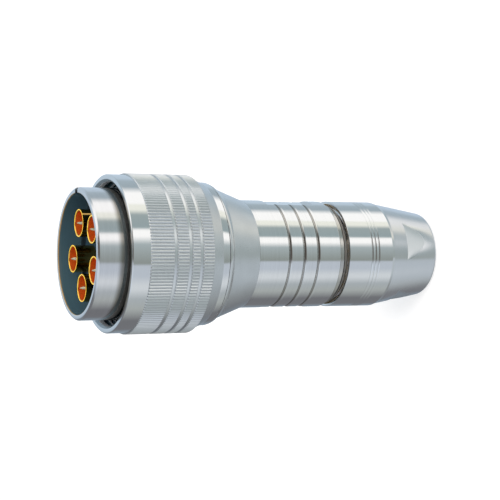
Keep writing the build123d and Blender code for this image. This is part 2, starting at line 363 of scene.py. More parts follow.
# Painted reflection: a warm brownish tint on edges, standing in for warm reflections in the steel.
WARM_REFLECTION = TurnedMetal("look_warm_painted_reflection", (0.72, 0.52, 0.26), roughness=0.24, haze=0.08, metallic=0.6)
BLASTED = BlastedMetal("look_blasted", (0.78, 0.79, 0.79), roughness=0.29)
WASHER = TurnedMetal("look_washer", (0.58, 0.58, 0.58), roughness=0.25, haze=0.08)
SPRING = TurnedMetal("look_spring", (0.30, 0.31, 0.33), roughness=0.3, haze=0.08)
GOLD = TurnedMetal("look_gold", (0.95, 0.52, 0.10), roughness=0.08, haze=0.04, shade=0.03)
# Painted shade: a darker copy of the gold for the sleeves' sides in the dark cavity.
GOLD_SHADED_SIDE = TurnedMetal("look_gold_side_painted_shade", (0.50, 0.31, 0.09), roughness=0.08, haze=0.04, shade=0.03)
# Painted reflection: deep orange-red stands in for the gold reflecting itself inside each sleeve.
GOLD_BORE_REFLECTION = TurnedMetal(
    "look_gold_bore_painted_reflection", (0.80, 0.14, 0.014), roughness=0.42, haze=0.08, shade=0.1, metallic=0.5
)
# The gold's own yellow, brightened and made barely metallic, so that the rim carries a painted highlight.
GOLD_LIT_RIM = TurnedMetal(
    "look_gold_rim_painted_highlight", (1.0, 0.60, 0.035), roughness=0.25, haze=0.06, shade=0.0, metallic=0.25
)
SILVER = TurnedMetal("look_silver", (0.74, 0.66, 0.46), roughness=0.22, haze=0.06, shade=0.03)
INSULATOR = Moulded("look_insulator", (0.016, 0.034, 0.046), roughness=0.38)
COLLET = Moulded("look_collet", (0.05, 0.05, 0.055))
RUBBER = Moulded("look_rubber", (0.018, 0.018, 0.02), roughness=0.62, specular=0.3)
GAP_RUBBER = Moulded(
    "look_gap_rubber", (0.15, 0.14, 0.125), roughness=0.3, specular=0.5, grain=500.0, grain_depth=0.02
)
BEAD = Moulded("look_bead", (0.72, 0.70, 0.64), roughness=0.4)

FINISH_OF_SLOT: dict[Slot, Finish] = {
    Slot.SHELL: SHELL,
    Slot.RING: KNURLED,
    Slot.ADAPTER: BLASTED,
    Slot.BARREL: POLISHED,
    Slot.NUT: SATIN,
    Slot.WASHER: WASHER,
    Slot.SPRING: SPRING,
    Slot.INSULATOR: INSULATOR,
    Slot.COLLET: COLLET,
    Slot.SEAL: RUBBER,
    Slot.GAP_SEAL: GAP_RUBBER,
    Slot.GOLD: GOLD,
    Slot.BEAD: BEAD,
    Slot.PIN: SILVER,
}


# Mesh tools


class Turning:
    """A turned solid in the making: an outline spun round the Z axis and then cut."""

    EDGE_SEGMENTS = 3
    SHARP_ANGLE = math.radians(28)
    ROUND_ANGLE = math.radians(60)
    WELD = 1e-8
    SLACK = 1e-6

    def __init__(
        self, outline: Sequence[Corner], finish: Finish, steps: int = 256, sectors: int = 1
    ) -> None:
        """Spins an outline.

        Args:
            outline: Corners in order; one that starts and ends on the axis stays open.
            finish: What the solid wears where it isn't painted.
            steps: Facets in one turn.
            sectors: Equal parts of the turn, of which one is spun and then repeated.
        """
        self.finishes = [finish]
        self.sharp_angle = self.SHARP_ANGLE
        self.mesh = bmesh.new()
        points = [self.mesh.verts.new((c.radius * MM, 0, c.height * MM)) for c in outline]
        on_axis = outline[0].radius == 0 and outline[-1].radius == 0
        pairs = list(zip(points, points[1:])) + ([] if on_axis else [(points[-1], points[0])])
        for start, end in pairs:
            self.mesh.edges.new((start, end))
        for rounding in sorted({c.rounding for c in outline if c.rounding}):
            corners = [v for v, c in zip(points, outline) if c.rounding == rounding]
            bmesh.ops.bevel(
                self.mesh, geom=corners, offset=rounding * MM, offset_type="OFFSET",
                segments=self.EDGE_SEGMENTS, profile=0.5, affect="VERTICES", material=-1,
                clamp_overlap=True,
            )
        bmesh.ops.spin(
            self.mesh, geom=self.mesh.verts[:] + self.mesh.edges[:], cent=(0, 0, 0), axis=(0, 0, 1),
            dvec=(0, 0, 0), angle=FULL_TURN / sectors, steps=steps // sectors, use_merge=sectors == 1,
        )
        if sectors > 1:
            bmesh.ops.spin(
                self.mesh, geom=self.mesh.verts[:] + self.mesh.edges[:] + self.mesh.faces[:],
                cent=(0, 0, 0), axis=(0, 0, 1), dvec=(0, 0, 0),
                angle=FULL_TURN * (sectors - 1) / sectors, steps=sectors - 1, use_duplicate=True,
            )
        bmesh.ops.remove_doubles(self.mesh, verts=self.mesh.verts[:], dist=self.WELD)
        bmesh.ops.recalc_face_normals(self.mesh, faces=self.mesh.faces[:])

    def ring_cut(self, height: float) -> None:
        """Adds a row of edges round the solid.

        Args:
            height: Where the row lies, in millimetres.
        """
        everything = self.mesh.verts[:] + self.mesh.edges[:] + self.mesh.faces[:]
        bmesh.ops.bisect_plane(
            self.mesh, geom=everything, dist=self.WELD, plane_co=(0, 0, height * MM), plane_no=(0, 0, 1)
        )

    def flat(
        self, distance: float, turn: float, low: float, high: float, finish: Finish, step: float = 0.01
    ) -> None:
        """Mills a flat beside the axis.

        Args:
            distance: From the axis to the flat, in millimetres.
            turn: Direction that the flat faces, in degrees from +X.
            low: Lower end of the flat, in millimetres.
            high: Upper end of the flat, in millimetres.
            finish: What the flat wears.
            step: Height over which the shoulder at either end rises, in millimetres.
        """
        for height in (low - step, low, high, high + step):
            self.ring_cut(height)
        facing = Vector((math.cos(math.radians(turn)), math.sin(math.radians(turn)), 0))
        slack = step * MM / 4

        def between(v: bmesh.types.BMVert) -> bool:
            """Whether a vertex lies in the flat's stretch."""
            return low * MM - slack < v.co.z < high * MM + slack

        band = [f for f in self.mesh.faces if all(between(v) for v in f.verts)]
        geom = {e for f in band for e in f.edges} | {v for f in band for v in f.verts} | set(band)
        bmesh.ops.bisect_plane(
            self.mesh, geom=list(geom), dist=self.WELD, plane_co=facing * distance * MM, plane_no=facing
        )
        for vert in self.mesh.verts:
            beyond = vert.co.dot(facing) - distance * MM
            if beyond > 0 and between(vert):
                vert.co -= facing * beyond
        index = self.index_of(finish)
        for face in self.mesh.faces:
            if all(between(v) and v.co.dot(facing) > distance * MM - self.WELD for v in face.verts):
                face.material_index = index

    def index_of(self, finish: Finish) -> int:
        """Place of a finish among those that the solid wears.

        Args:
            finish: One that it wears already, or a new one.

        Returns:
            The index that its faces carry.
        """
        if finish not in self.finishes:
            self.finishes.append(finish)
        return self.finishes.index(finish)

    def paint(self, finish: Finish, chosen: Callable[[Vector], bool]) -> None:
        """Gives some of the faces another finish.

        Args:
            finish: What they wear.
            chosen: Whether a face is one of them, by its centre in millimetres.
        """
        index = self.index_of(finish)
        for face in self.mesh.faces:
            if chosen(face.calc_center_median() / MM):
                face.material_index = index

    def ribbon(self, section: Sequence[Corner], pitch: float, turns: float, steps: int = 180) -> None:
        """Adds a thread ridge.

        Args:
            section: The ridge's outline at its start, in millimetres.
            pitch: Rise in one turn, in millimetres.
            turns: Number of turns.
            steps: Facets in one turn.
        """
        ridge = bmesh.new()
        points = [ridge.verts.new((c.radius * MM, 0, c.height * MM)) for c in section]
        edges = [ridge.edges.new(pair) for pair in zip(points, points[1:] + points[:1])]
        bmesh.ops.contextual_create(ridge, geom=edges)
        made = bmesh.ops.spin(
            ridge, geom=points + edges, cent=(0, 0, 0), axis=(0, 0, 1),
            dvec=(0, 0, pitch * MM / steps), angle=FULL_TURN * turns, steps=round(steps * turns),
        )
        last = [g for g in made["geom_last"] if isinstance(g, bmesh.types.BMEdge)]
        bmesh.ops.contextual_create(ridge, geom=last)
        bmesh.ops.recalc_face_normals(ridge, faces=ridge.faces[:])
        spare = bpy.data.meshes.new("ridge")
        ridge.to_mesh(spare)
        ridge.free()
        self.mesh.from_mesh(spare)
        bpy.data.meshes.remove(spare)

    def slot(self, width: float, floor: float) -> None:
        """Cuts the key slot through the wall on the +X side.

        Args:
            width: Width of the slot, in millimetres.
            floor: Height at which the slot ends, in millimetres.
        """
        half, bottom, slack = width / 2 * MM, floor * MM, self.SLACK
        planes = (((0, half, 0), (0, 1, 0)), ((0, -half, 0), (0, 1, 0)), ((0, 0, bottom), (0, 0, 1)))
        for place, facing in planes:
            near = [f for f in self.mesh.faces if f.calc_center_median().x > 0]
            geom = {e for f in near for e in f.edges} | {v for f in near for v in f.verts} | set(near)
            bmesh.ops.bisect_plane(
                self.mesh, geom=list(geom), dist=self.WELD, plane_co=place, plane_no=facing
            )
        inside = [
            f for f in self.mesh.faces
            if (c := f.calc_center_median()).x > 0 and abs(c.y) < half and c.z > bottom
        ]
        bmesh.ops.delete(self.mesh, geom=inside, context="FACES")
        open_verts = {v for e in self.mesh.edges if e.is_boundary for v in e.verts}
        for side in (half, -half):
            ends = [v for v in open_verts if abs(v.co.y - side) < slack and abs(v.co.z - bottom) < slack]
            bmesh.ops.contextual_create(self.mesh, geom=ends)
        places: tuple[Callable[[Vector], bool], ...] = (
            lambda co: abs(co.y - half) < slack,
            lambda co: abs(co.y + half) < slack,
            lambda co: abs(co.z - bottom) < slack,
        )
        for on_wall in places:
            rim = [
                e for e in self.mesh.edges
                if len(e.link_faces) < 2 and all(v in open_verts and on_wall(v.co) for v in e.verts)
            ]
            bmesh.ops.contextual_create(self.mesh, geom=rim)
        bmesh.ops.recalc_face_normals(self.mesh, faces=self.mesh.faces[:])

    def place(self, x: float, y: float) -> None:
        """Moves the solid sideways, in millimetres."""
        bmesh.ops.translate(self.mesh, verts=self.mesh.verts[:], vec=(x * MM, y * MM, 0))

    def piece(self, name: str, body: Body, node: str) -> bpy.types.Object:
        """Turns the solid into a piece of the plug.

        Args:
            name: The piece's name.
            body: The body that carries it.
            node: The CAD node that it stands for.

        Returns:
            The new object.
        """
        for face in self.mesh.faces:
            face.smooth = True
        for edge in self.mesh.edges:
            edge.smooth = edge.calc_face_angle(0) < self.sharp_angle
        data = bpy.data.meshes.new(name)
        self.mesh.to_mesh(data)
        self.mesh.free()
        made = bpy.data.objects.new(name, data)
        bpy.context.scene.collection.objects.link(made)
        for finish in self.finishes:
            data.materials.append(finish.material())
        shading = made.modifiers.new("even_shading", "WEIGHTED_NORMAL")
        shading.keep_sharp = True
        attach(made, body.value)
        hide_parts(node)
        log.info("%s: %d faces, stands for %s", name, len(data.polygons), node)
        return made


def height_range(node: str) -> tuple[float, float]:
    """Lowest and highest point of a CAD node, in millimetres."""
    low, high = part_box(node)
    return low.z / MM, high.z / MM


def outer_radius(node: str) -> float:
    """Radius of a CAD node that is centred on the axis, in millimetres."""
    low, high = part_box(node)
    return (high.y - low.y) / 2 / MM


# The plug's pieces


@dataclass
class PlugShell:
    """Keyed tube round the contacts."""

    wall: float = 1.7
    rim_chamfer: float = 0.6
    warm_reflection_band: float = 0.4
    edge: float = 0.08
    slot_width: float = 2.4
    slot_length: float = 17.5
    radius: float = 20.4
    flange_thickness: float = 2.5
    flange_place: float = 4.9
    stub_length: float = 8.6
    stub_step: float = 3.1
    stub_wall: float = 1.8
    insert_shoulder: float = 2.0

    def build(self) -> bpy.types.Object:
        """Makes the shell.

        Returns:
            The new piece.
        """
        bottom, rim = height_range("plug_shell")
        seat = bottom + self.stub_length
        flange = seat + self.flange_place
        bore, stub = self.radius - self.wall, self.radius - self.stub_step
        flange_radius = outer_radius("plug_shell")
        outline = [
            Corner(stub - self.stub_wall, bottom),
            Corner(stub, bottom, self.edge),
            Corner(stub, seat),
            Corner(self.radius, seat),
            Corner(self.radius, flange),
            Corner(flange_radius, flange, self.edge),
            Corner(flange_radius, flange + self.flange_thickness, self.edge),
            Corner(self.radius, flange + self.flange_thickness),
            Corner(self.radius, rim - self.rim_chamfer, self.edge),
            Corner(self.radius - self.rim_chamfer, rim, self.edge),
            Corner(bore, rim, self.edge),
            Corner(bore, rim - self.warm_reflection_band),
            Corner(bore, flange + self.insert_shoulder),
            Corner(stub - self.stub_wall, flange + self.insert_shoulder),
        ]
        turning = Turning(outline, SHELL, steps=FINE_STEPS)
        turning.slot(self.slot_width, rim - self.slot_length)
        # Painted shade on the bore inside the shell.
        turning.paint(SHADED_BORE, lambda c: c.xy.length < bore + self.edge and c.z < rim - self.warm_reflection_band)
        # Painted reflection: a warm tint on the band just inside the rim.
        turning.paint(WARM_REFLECTION, lambda c: c.xy.length < bore + self.edge and c.z > rim - self.warm_reflection_band)
        return turning.piece("shell_tube", Body.MAIN, "plug_shell")


@dataclass
class CouplingRing:
    """Knurled ring with its internal thread."""

    teeth: int = 157
    crest: float = 25.0
    tooth_depth: float = 0.4
    body: float = 24.45
    band: float = 24.55
    front_band: float = 5.7
    knurl_length: float = 20.5
    grooves: tuple[float, ...] = (8.0, 12.8, 16.35)
    groove_width: float = 0.9
    tooth_chamfer: float = 0.22
    rear_radius: float = 22.75
    rear_band: float = 2.1
    lip_bore: float = 20.48
    lip_length: float = 3.9
    thread_crest: float = 22.35
    thread_root: float = 23.35
    thread_pitch: float = 1.8
    thread_turns: float = 6.0
    thread_land: float = 0.8
    thread_sink: float = 0.1
    thread_step: float = 0.05
    flank_margin: float = 0.2
    lead_in: float = 0.75
    land: float = 1.6
    edge: float = 0.1
    tooth_points: tuple[tuple[float, bool], ...] = (
        (0.07, False), (0.36, True), (0.64, True), (0.93, False)
    )

    def knurl_rows(self, top: float, bottom: float) -> list[Corner]:
        """Outline of one stretch of teeth, from its lower to its upper end.

        Args:
            top: Upper end, in millimetres.
            bottom: Lower end, in millimetres.

        Returns:
            The corners; those at the crest radius are cut into teeth later.
        """
        root = self.crest - self.tooth_depth
        return [
            Corner(self.body, bottom),
            Corner(root, bottom),
            Corner(self.crest, bottom + self.tooth_chamfer),
            Corner(self.crest, top - self.tooth_chamfer),
            Corner(root, top),
            Corner(self.body, top),
        ]

    def outside(self, bottom: float, top: float) -> list[Corner]:
        """Outline of the outside, from the rear face to the front face.

        Args:
            bottom: Height of the rear face, in millimetres.
            top: Height of the front face, in millimetres.

        Returns:
            The corners, with a stretch of teeth between each two grooves.
        """
        knurl_top = top - self.front_band
        knurl_bottom = knurl_top - self.knurl_length
        rows = [
            Corner(self.rear_radius, bottom, self.edge),
            Corner(self.rear_radius, bottom + self.rear_band, self.edge / 2),
        ]
        low = knurl_bottom
        for place in sorted(self.grooves, reverse=True):
            middle = knurl_top - place
            rows += self.knurl_rows(middle - self.groove_width / 2, low)
            low = middle + self.groove_width / 2
        rows += self.knurl_rows(knurl_top, low)
        rows += [
            Corner(self.band, knurl_top),
            Corner(self.band, top - 3 * self.edge, self.edge),
            Corner(self.band - 3 * self.edge, top, self.edge),
        ]
        return rows

    def bore(self, bottom: float, top: float) -> list[Corner]:
        """Outline of the bore, from the front face to the rear face.

        Args:
            bottom: Height of the rear face, in millimetres.
            top: Height of the front face, in millimetres.

        Returns:
            The corners, with a recess that the thread's ridge fills.
        """
        thread_top = top - self.lead_in - self.land
        thread_end = thread_top - self.thread_pitch * (self.thread_turns + 1)
        return [
            Corner(self.thread_crest + self.lead_in, top, self.edge / 2),
            Corner(self.thread_crest, top - self.lead_in, self.edge / 2),
            Corner(self.thread_crest, thread_top, self.edge / 2),
            Corner(self.thread_root, thread_top - self.lead_in),
            Corner(self.thread_root, thread_end),
            Corner(self.thread_crest, thread_end - self.lead_in),
            Corner(self.thread_crest, bottom + self.lip_length),
            Corner(self.lip_bore, bottom + self.lip_length),
            Corner(self.lip_bore, bottom),
        ]

    def cut_teeth(self, turning: Turning) -> None:
        """Moves the rows at the crest radius into flanks, crests and roots.

        Args:
            turning: The ring, spun with one step for each of a tooth's points.
        """
        count = len(self.tooth_points)
        step = FULL_TURN / (self.teeth * count)
        for vert in turning.mesh.verts:
            radius = math.hypot(vert.co.x, vert.co.y) / MM
            if radius < self.crest - self.tooth_depth / 4:
                continue
            index = round(math.atan2(vert.co.y, vert.co.x) / step)
            share, on_crest = self.tooth_points[index % count]
            angle = (index // count + share) * step * count
            new_radius = (self.crest if on_crest else self.crest - self.tooth_depth) * MM
            vert.co.x, vert.co.y = new_radius * math.cos(angle), new_radius * math.sin(angle)

    def build(self) -> bpy.types.Object:
        """Makes the ring with its teeth and thread.

        Returns:
            The new piece.
        """
        bottom, top = height_range("coupling_ring")
        outline = self.outside(bottom, top) + self.bore(bottom, top)
        steps = self.teeth * len(self.tooth_points)
        turning = Turning(outline, POLISHED, steps=steps, sectors=self.teeth)
        self.cut_teeth(turning)
        first = top - self.lead_in - self.land - self.thread_pitch * (self.thread_turns + 0.5)
        half = self.thread_pitch / 2
        root, crest = self.thread_root + self.thread_sink, self.thread_crest + self.thread_step
        thread = [
            Corner(root, first - half),
            Corner(crest, first - self.thread_land / 2),
            Corner(crest, first + self.thread_land / 2),
            Corner(root, first + half),
        ]
        turning.ribbon(thread, self.thread_pitch, self.thread_turns)
        self.dress(turning, bottom, top)
        return turning.piece("knurled_ring", Body.COUPLING, "coupling_ring")

    def dress(self, turning: Turning, bottom: float, top: float) -> None:
        """Paints the rear slope and the teeth, the bore and thread crests with painted light, and the mouth
        and the thread's flanks with painted shade.

        Args:
            turning: The ring.
            bottom: Height of the rear face, in millimetres.
            top: Height of the front face, in millimetres.
        """
        knurl_top = top - self.front_band
        knurl_bottom = knurl_top - self.knurl_length
        rear, outer = bottom + self.rear_band, self.rear_radius - self.edge / 2
        turning.paint(BLASTED, lambda c: c.xy.length > outer and rear < c.z < knurl_bottom)
        turning.paint(KNURLED, lambda c: c.xy.length > outer and knurl_bottom < c.z < knurl_top)
        mouth, lip = top - self.lead_in, bottom + self.lip_length
        flank, wide = self.thread_crest + self.flank_margin, self.thread_root + self.flank_margin
        # Painted light: the bore and the thread crests are brightened.
        turning.paint(LIT_THREAD, lambda c: c.xy.length < flank and c.z < mouth)
        # Painted shade on the mouth's lead-in chamfer.
        turning.paint(SHADED_MOUTH, lambda c: c.xy.length < self.thread_crest + self.lead_in and c.z > mouth)
        # Painted shade in the thread's recess.
        turning.paint(SHADED_BORE, lambda c: flank < c.xy.length < wide and lip < c.z < mouth)


@dataclass
class ConeAdapter:
    """Matt cone with a bright shoulder."""

    front: float = 22.65
    shoulder_drop: float = 1.35
    shoulder_length: float = 2.0
    shoulder_swell: float = 0.3
    tail: float = 17.4
    stub: float = 15.2
    stub_length: float = 7.6
    bore: float = 13.2
    socket: float = 17.35
    socket_depth: float = 8.7
    edge: float = 0.08

    def build(self) -> bpy.types.Object:
        """Makes the adapter.

        Returns:
            The new piece.
        """
        bottom, top = height_range("cone_adapter")
        base = bottom + self.stub_length
        shoulder = top - self.shoulder_length
        outline = [
            Corner(self.bore, bottom),
            Corner(self.stub, bottom),
            Corner(self.stub, base),
            Corner(self.tail, base, self.edge),
            Corner(self.front - self.shoulder_drop, shoulder, self.edge),
            Corner(self.front - self.shoulder_swell, top - self.shoulder_length / 2, 6 * self.edge),
            Corner(self.front, top, self.edge),
            Corner(self.socket, top),
            Corner(self.socket, top - self.socket_depth),
            Corner(self.bore, top - self.socket_depth),
        ]
        turning = Turning(outline, POLISHED)
        turning.paint(BLASTED, lambda c: c.xy.length > self.tail - self.edge and base < c.z < shoulder)
        return turning.piece("cone_body", Body.MAIN, "cone_adapter")


@dataclass
class Barrel:
    """Polished barrel with three grooves, two flats and the threaded stub of the tail nut."""

    radius: float = 17.4
    length: float = 29.0
    grooves: tuple[float, ...] = (8.15, 13.15, 18.3)
    groove_width: float = 1.5
    groove_depth: float = 0.6
    shadow_share: float = 0.45
    flat_depth: float = 0.76
    flat_place: float = 4.8
    flat_length: float = 16.8
    flat_turn: float = -8.0
    rear_chamfer: float = 0.35
    neck: float = 16.35
    neck_length: float = 1.6
    stub: float = 15.5
    thread_depth: float = 0.75
    thread_pitch: float = 1.5
    thread_land: float = 0.2
    thread_sink: float = 0.05
    socket: float = 15.25
    socket_depth: float = 7.7
    bore: float = 12.0
    chamber: float = 12.7
    chamber_length: float = 12.85
    edge: float = 0.08

    def build(self) -> bpy.types.Object:
        """Makes the barrel.

        Returns:
            The new piece.
        """
        bottom, top = height_range("barrel")
        rear = top - self.length
        neck = rear - self.neck_length
        root = self.stub - self.thread_depth
        outline = [
            Corner(self.chamber, bottom),
            Corner(root, bottom, self.edge),
            Corner(root, neck),
            Corner(self.neck, neck, self.edge),
            Corner(self.neck, rear),
            Corner(self.radius - self.rear_chamfer, rear, self.edge),
            Corner(self.radius, rear + self.rear_chamfer, self.edge),
        ]
        for place in self.grooves:
            middle = rear + place
            outline += [
                Corner(self.radius, middle - self.groove_width / 2, self.edge),
                Corner(
                    self.radius - self.groove_depth * self.shadow_share,
                    middle - self.groove_width / 2 * self.shadow_share,
                ),
                Corner(self.radius - self.groove_depth, middle, self.edge),
                Corner(self.radius, middle + self.groove_width / 2, self.edge),
            ]
        outline += [
            Corner(self.radius, top, self.edge),
            Corner(self.socket, top),
            Corner(self.socket, top - self.socket_depth),
            Corner(self.bore, top - self.socket_depth),
            Corner(self.bore, bottom + self.chamber_length),
            Corner(self.chamber, bottom + self.chamber_length),
        ]
        turning = Turning(outline, POLISHED, steps=FINE_STEPS)
        half = self.thread_pitch / 2
        turns = (neck - bottom) / self.thread_pitch - 2
        first = bottom + self.thread_pitch
        ridge = [
            Corner(root - self.thread_sink, first - half),
            Corner(self.stub, first - self.thread_land / 2),
            Corner(self.stub, first + self.thread_land / 2),
            Corner(root - self.thread_sink, first + half),
        ]
        turning.ribbon(ridge, self.thread_pitch, turns)
        inside, outside = (self.chamber + root) / 2, self.neck + self.edge
        turning.paint(SATIN, lambda c: c.xy.length > inside and c.z < neck)
        # Painted shade on the neck in the gap before the tail nut.
        turning.paint(SHADED_NECK, lambda c: inside < c.xy.length < outside and neck <= c.z < rear)
        # Painted shade on each groove's flank on the rear side, up to its deepest point.
        for place in self.grooves:
            high = rear + place
            low = high - self.groove_width / 2 * self.shadow_share
            turning.paint(
                SHADED_FLANK, lambda c, low=low, high=high: c.xy.length > inside and low < c.z < high
            )
        low = rear + self.flat_place
        for turn in (self.flat_turn, self.flat_turn + HALF_TURN):
            turning.flat(self.radius - self.flat_depth, turn, low, low + self.flat_length, POLISHED)
        return turning.piece("grooved_barrel", Body.MAIN, "barrel")


@dataclass
class TailNut:
    """Cable nut with fine grooves and a cone with four flats."""

    radius: float = 17.45
    taper: float = 3.6
    cone_length: float = 18.4
    step_length: float = 1.0
    step_height: float = 0.4
    end_round: float = 1.3
    end_segments: int = 9
    hole: float = 9.25
    floor: float = 6.0
    cavity: float = 12.95
    thread_bore: float = 15.58
    thread_bottom: float = 19.85
    front_chamfer: float = 1.0
    groove_place: float = 8.45
    groove_pitch: float = 1.25
    groove_count: int = 3
    groove_width: float = 0.65
    groove_depth: float = 0.3
    flat_distance: float = 14.75
    flat_top: float = 12.8
    flat_turn: float = -73.2
    flat_count: int = 4
    flat_lift: float = 0.02
    satin_reach: float = 1.0
    bright_rim: float = 0.5
    edge: float = 0.08

    def build(self) -> bpy.types.Object:
        """Makes the nut.

        Returns:
            The new piece.
        """
        bottom, top = height_range("tail_nut")
        outline = [
            Corner(self.hole, bottom, 4 * self.edge),
            *self.rounded_end(bottom),
            Corner(self.radius - self.step_height, bottom + self.cone_length, self.edge),
            Corner(self.radius, bottom + self.cone_length + self.step_length, self.edge),
        ]
        for index in reversed(range(self.groove_count)):
            middle = top - self.groove_place - index * self.groove_pitch
            outline += [
                Corner(self.radius, middle - self.groove_width / 2, self.edge / 2),
                Corner(self.radius - self.groove_depth, middle, self.edge / 2),
                Corner(self.radius, middle + self.groove_width / 2, self.edge / 2),
            ]
        outline += [
            Corner(self.radius, top, 2 * self.edge),
            Corner(self.thread_bore + self.front_chamfer, top, self.edge),
            Corner(self.thread_bore, top - self.front_chamfer),
            Corner(self.thread_bore, self.thread_bottom),
            Corner(self.cavity, self.thread_bottom - (self.thread_bore - self.cavity)),
            Corner(self.cavity, self.floor),
            Corner(self.hole, self.floor),
        ]
        turning = Turning(outline, POLISHED, steps=FINE_STEPS)
        cone_top, chamfer = bottom + self.cone_length, top - self.front_chamfer
        skin, reflection_reach = self.cavity - self.satin_reach, self.radius - self.bright_rim
        turning.paint(SATIN, lambda c: c.z < cone_top and c.xy.length > skin)
        # Painted reflection: a warm tint on the front chamfer.
        turning.paint(WARM_REFLECTION, lambda c: c.z > chamfer and c.xy.length < reflection_reach)
        for index in range(self.flat_count):
            turn = self.flat_turn + index * 2 * HALF_TURN / self.flat_count
            turning.flat(self.flat_distance, turn, bottom + self.flat_lift, self.flat_top, MILLED)
        return turning.piece("cable_nut", Body.NUT, "tail_nut")

    def rounded_end(self, bottom: float) -> list[Corner]:
        """Outline of the round between the end face and the cone.

        Args:
            bottom: Height of the end face, in millimetres.

        Returns:
            The corners, from the end face upwards.
        """
        lean = math.atan2(self.taper - self.step_height, self.cone_length)
        reach = math.pi / 2 - lean
        centre = self.radius - self.taper - self.end_round * math.tan(reach / 2)
        corners = []
        for index in range(self.end_segments + 1):
            angle = -math.pi / 2 + reach * index / self.end_segments
            radius = centre + self.end_round * math.cos(angle)
            corners.append(Corner(radius, bottom + self.end_round * (1 + math.sin(angle))))
        return corners


@dataclass
class GapSeal:
    """Round seal in the gap between barrel and tail nut."""

    segments: int = 16

    def build(self) -> bpy.types.Object:
        """Makes the seal.

        Returns:
            The new piece.
        """
        low, high = height_range("gap_seal")
        section = (high - low) / 2
        centre = outer_radius("gap_seal") - section
        angles = [FULL_TURN * index / self.segments for index in range(self.segments)]
        outline = [
            Corner(centre + section * math.cos(angle), (low + high) / 2 + section * math.sin(angle))
            for angle in angles
        ]
        turning = Turning(outline, GAP_RUBBER)
        turning.sharp_angle = Turning.ROUND_ANGLE
        return turning.piece("gap_o_ring", Body.MAIN, "gap_seal")


@dataclass
class CoaxialContact:
    """One of the five contacts: sleeve, bead and pin."""

    number: int
    sleeve: float = 4.3
    bore: float = 3.8
    collar: float = 4.9
    collar_top: float = 97.0
    collar_bottom: float = 95.0
    tail: float = 3.0
    tail_bore: float = 2.5
    mouth_chamfer: float = 0.18
    pin: float = 0.7
    tip_length: float = 1.6
    tip_end: float = 0.12
    floor: float = 0.5
    play: float = 0.05
    edge: float = 0.06
    sleeve_steps: int = 96
    bead_steps: int = 64
    pin_steps: int = 48

    def centre(self) -> tuple[float, float]:
        """The contact's axis, in millimetres."""
        low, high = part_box(f"contact_pin_{self.number}")
        return (low.x + high.x) / 2 / MM, (low.y + high.y) / 2 / MM

    def sleeve_piece(self) -> bpy.types.Object:
        """Makes the gold outer contact.

        Returns:
            The new piece.
        """
        bottom, mouth = height_range(f"contact_sleeve_{self.number}")
        outline = [
            Corner(self.bore + self.mouth_chamfer, mouth, self.edge),
            Corner(self.sleeve, mouth, self.edge),
            Corner(self.sleeve, self.collar_top),
            Corner(self.collar, self.collar_top),
            Corner(self.collar, self.collar_bottom),
            Corner(self.tail, self.collar_bottom),
            Corner(self.tail, bottom),
            Corner(self.tail_bore, bottom),
            Corner(self.tail_bore, self.collar_bottom + self.floor),
            Corner(self.bore, self.collar_bottom + self.floor),
            Corner(self.bore, mouth - self.mouth_chamfer),
        ]
        turning = Turning(outline, GOLD, steps=self.sleeve_steps)
        inner = self.bore + self.edge
        # Painted reflection: the sleeve's bore is deep orange-red.
        turning.paint(GOLD_BORE_REFLECTION, lambda c: c.xy.length < inner and c.z < mouth - self.edge)
        # The rim is gold, brightened as a painted highlight.
        turning.paint(GOLD_LIT_RIM, lambda c: c.z > mouth - self.edge)
        # Painted shade: the sleeve's outer side is a darker gold.
        turning.paint(GOLD_SHADED_SIDE, lambda c: c.xy.length > inner and c.z < mouth - self.mouth_chamfer)
        turning.place(*self.centre())
        name, node = f"gold_sleeve_{self.number}", f"contact_sleeve_{self.number}"
        return turning.piece(name, Body.MAIN, node)

    def pin_piece(self) -> bpy.types.Object:
        """Makes the pointed centre contact.

        Returns:
            The new piece.
        """
        bottom, tip = height_range(f"contact_pin_{self.number}")
        outline = [
            Corner(0, bottom),
            Corner(self.pin, bottom),
            Corner(self.pin, tip - self.tip_length, self.edge),
            Corner(self.tip_end, tip, self.edge),
            Corner(0, tip),
        ]
        turning = Turning(outline, SILVER, steps=self.pin_steps)
        turning.place(*self.centre())
        name, node = f"centre_pin_{self.number}", f"contact_pin_{self.number}"
        return turning.piece(name, Body.MAIN, node)

    def bead_piece(self) -> bpy.types.Object:
        """Makes the insulating bead deep in the sleeve.

        Returns:
            The new piece.
        """
        bottom, top = height_range(f"contact_bead_{self.number}")
        outline = [
            Corner(self.pin + self.play, bottom),
            Corner(self.bore - self.play, bottom),
            Corner(self.bore - self.play, top, self.edge),
            Corner(self.pin + self.play, top, self.edge),
        ]
        turning = Turning(outline, BEAD, steps=self.bead_steps)
        turning.place(*self.centre())
        name, node = f"insulating_bead_{self.number}", f"contact_bead_{self.number}"
        return turning.piece(name, Body.MAIN, node)

    def build(self) -> None:
        """Makes the contact's three pieces."""
        self.sleeve_piece()
        self.bead_piece()
        self.pin_piece()


# Studio


@dataclass(frozen=True)
class Panel:
    """A wall, window or card of the studio, by the angles at which the plug's side mirrors it."""

    start: float
    end: float
    colour: Colour
    end_colour: Colour | None = None


class Lamp(NamedTuple):
    """A round soft lamp that faces the plug: name, place and width in metres, power in watts."""

    name: str
    place: tuple[float, float, float]
    size: float
    energy: float


